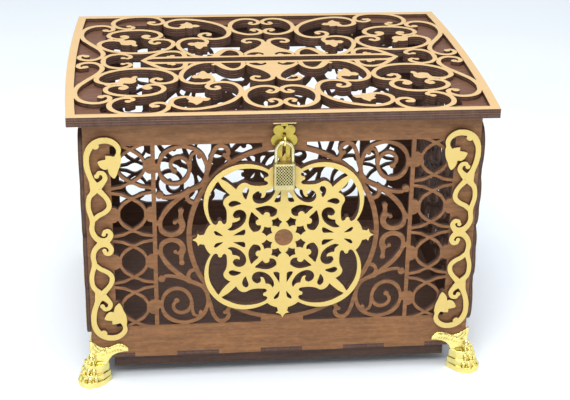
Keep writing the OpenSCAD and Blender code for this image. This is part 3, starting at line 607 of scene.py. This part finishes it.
def knurl(name, sign):
    """A thin pressed panel of crossed grooves on the padlock's front or back, with painted shade in the
    grooves.
    """
    low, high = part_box("lock_body")
    face = low.y if sign < 0 else high.y
    x0, x1 = low.x + KNURL_SIDE, high.x - KNURL_SIDE
    z0, z1 = low.z + KNURL_BELOW, high.z - KNURL_ABOVE
    nx, nz = KNURL_CELLS
    bm = bmesh.new()
    grid = []
    ridge = []
    for j in range(nz + 1):
        row, crest = [], []
        for i in range(nx + 1):
            x = x0 + (x1 - x0) * i / nx
            z = z0 + (z1 - z0) * j / nz
            p, q = (x - x0) / KNURL_WIDE, (z - z0) / KNURL_TALL
            a = abs((p + q) % 1 - 0.5) * 2
            b = abs((p - q) % 1 - 0.5) * 2
            lift = max(0.0, min(1.0, (max(a, b) - 0.62) / 0.2))
            from_rim = min(i, nx - i, j, nz - j)
            if from_rim < PLAIN_CELLS:
                lift = 1.0
            height = KNURL_DEEP * lift * min(1, from_rim / SLOPE_CELLS)
            crest.append(lift)
            row.append(bm.verts.new((x, face + sign * (height + CLEARANCE), z)))
        grid.append(row)
        ridge.append(crest)
    for j in range(nz):
        for i in range(nx):
            quad = (grid[j][i], grid[j][i + 1], grid[j + 1][i + 1], grid[j + 1][i])
            made = bm.faces.new(quad if sign < 0 else quad[::-1])
            # painted shade: cells down in the grooves take the dark brass that stands in for the shade in the
            # pits
            made.material_index = 0 if ridge[j][i] + ridge[j + 1][i + 1] > 0.7 else 1
    mesh = bpy.data.meshes.new(name)
    bm.to_mesh(mesh)
    bm.free()
    for poly in mesh.polygons:
        poly.use_smooth = True
    add_object(name, mesh, "padlock_body", (LOCK, PIT))


knurl("padlock_knurling_front", -1)
knurl("padlock_knurling_back", 1)


# ---------------------------------------------------------------- stage, light, camera
def floor_material():
    m = Mat("pale_table")
    soft = m.noise(3.0, 2.0, 0.5)
    base = m.ramp(soft, [(0.3, lin(232, 240, 248)), (0.7, lin(238, 244, 251))])
    return m.finish(base, m.ramp(soft, [(0.3, gray(0.42)), (0.7, gray(0.5))]), Specular_IOR_Level=0.35)


bm = bmesh.new()
bmesh.ops.create_grid(bm, x_segments=24, y_segments=24, size=6)
mesh = bpy.data.meshes.new("table")
bm.to_mesh(mesh)
bm.free()
table = bpy.data.objects.new("table", mesh)
table.location.z = -0.0001
mesh.materials.append(floor_material())
scene.collection.objects.link(table)

world = bpy.data.worlds.new("studio")
world.use_nodes = True
sky = world.node_tree
way = sky.nodes.new("ShaderNodeTexCoord")
parts = sky.nodes.new("ShaderNodeSeparateXYZ")
sky.links.new(way.outputs["Generated"], parts.inputs["Vector"])
shade = sky.nodes.new("ShaderNodeValToRGB")
shade.color_ramp.elements[0].position = 0.0
shade.color_ramp.elements[0].color = (0.36, 0.35, 0.34, 1)
shade.color_ramp.elements[1].position = 0.62
shade.color_ramp.elements[1].color = (0.93, 0.965, 1.0, 1)
half = sky.nodes.new("ShaderNodeMapRange")
half.inputs["From Min"].default_value = -1.0
sky.links.new(parts.outputs["Y"], half.inputs["Value"])
sky.links.new(half.outputs["Result"], shade.inputs["Fac"])
sky.links.new(shade.outputs["Color"], sky.nodes["Background"].inputs["Color"])
sky.nodes["Background"].inputs["Strength"].default_value = 0.8
scene.world = world


def softbox(name, place, aim, size, power, color=(1, 1, 1)):
    light = bpy.data.lights.new(name, "AREA")
    light.shape = "RECTANGLE"
    light.size, light.size_y = size
    light.energy = power
    light.color = color
    obj = bpy.data.objects.new(name, light)
    obj.location = place
    obj.rotation_euler = (Vector(aim) - Vector(place)).to_track_quat("-Z", "Y").to_euler()
    scene.collection.objects.link(obj)


softbox("top_softbox", (-0.1, -0.3, 1.6), (0, 0, 0.1), (1.3, 1.1), 17, (1.0, 0.985, 0.96))
softbox("front_softbox", (-0.4, -1.35, 1.65), (0, 0, 0.12), (1.1, 0.7), 22, (1.0, 0.985, 0.96))
softbox("right_softbox", (1.5, -0.7, 0.8), (0, 0, 0.1), (0.9, 0.9), 5, (0.97, 0.985, 1.0))
softbox("low_front_fill", (-0.2, -1.8, 0.45), (0, -0.2, 0.0), (1.6, 0.5), 5, (0.97, 0.985, 1.0))

CAMERA_AT = -0.1064, -1.1124, 0.6085
YAW, PITCH, ROLL = 0.1085, 0.4217, -0.017   # radians: to the right, down, and a slight tilt
SENSOR, LENS = 36.0, 84.303                 # mm
forward = Vector((math.sin(YAW) * math.cos(PITCH), math.cos(YAW) * math.cos(PITCH), -math.sin(PITCH)))
level = Vector((math.cos(YAW), -math.sin(YAW), 0))
down = forward.cross(level)
right = math.cos(ROLL) * level + math.sin(ROLL) * down
up = math.sin(ROLL) * level - math.cos(ROLL) * down
camera = bpy.data.objects.new("camera", bpy.data.cameras.new("camera"))
camera.data.sensor_width = SENSOR
camera.data.lens = LENS
camera.data.clip_end = 50
camera.matrix_world = Matrix.Translation(CAMERA_AT) @ Matrix((right, up, -forward)).transposed().to_4x4()
scene.collection.objects.link(camera)
scene.camera = camera
scene.view_settings.view_transform = "Standard"
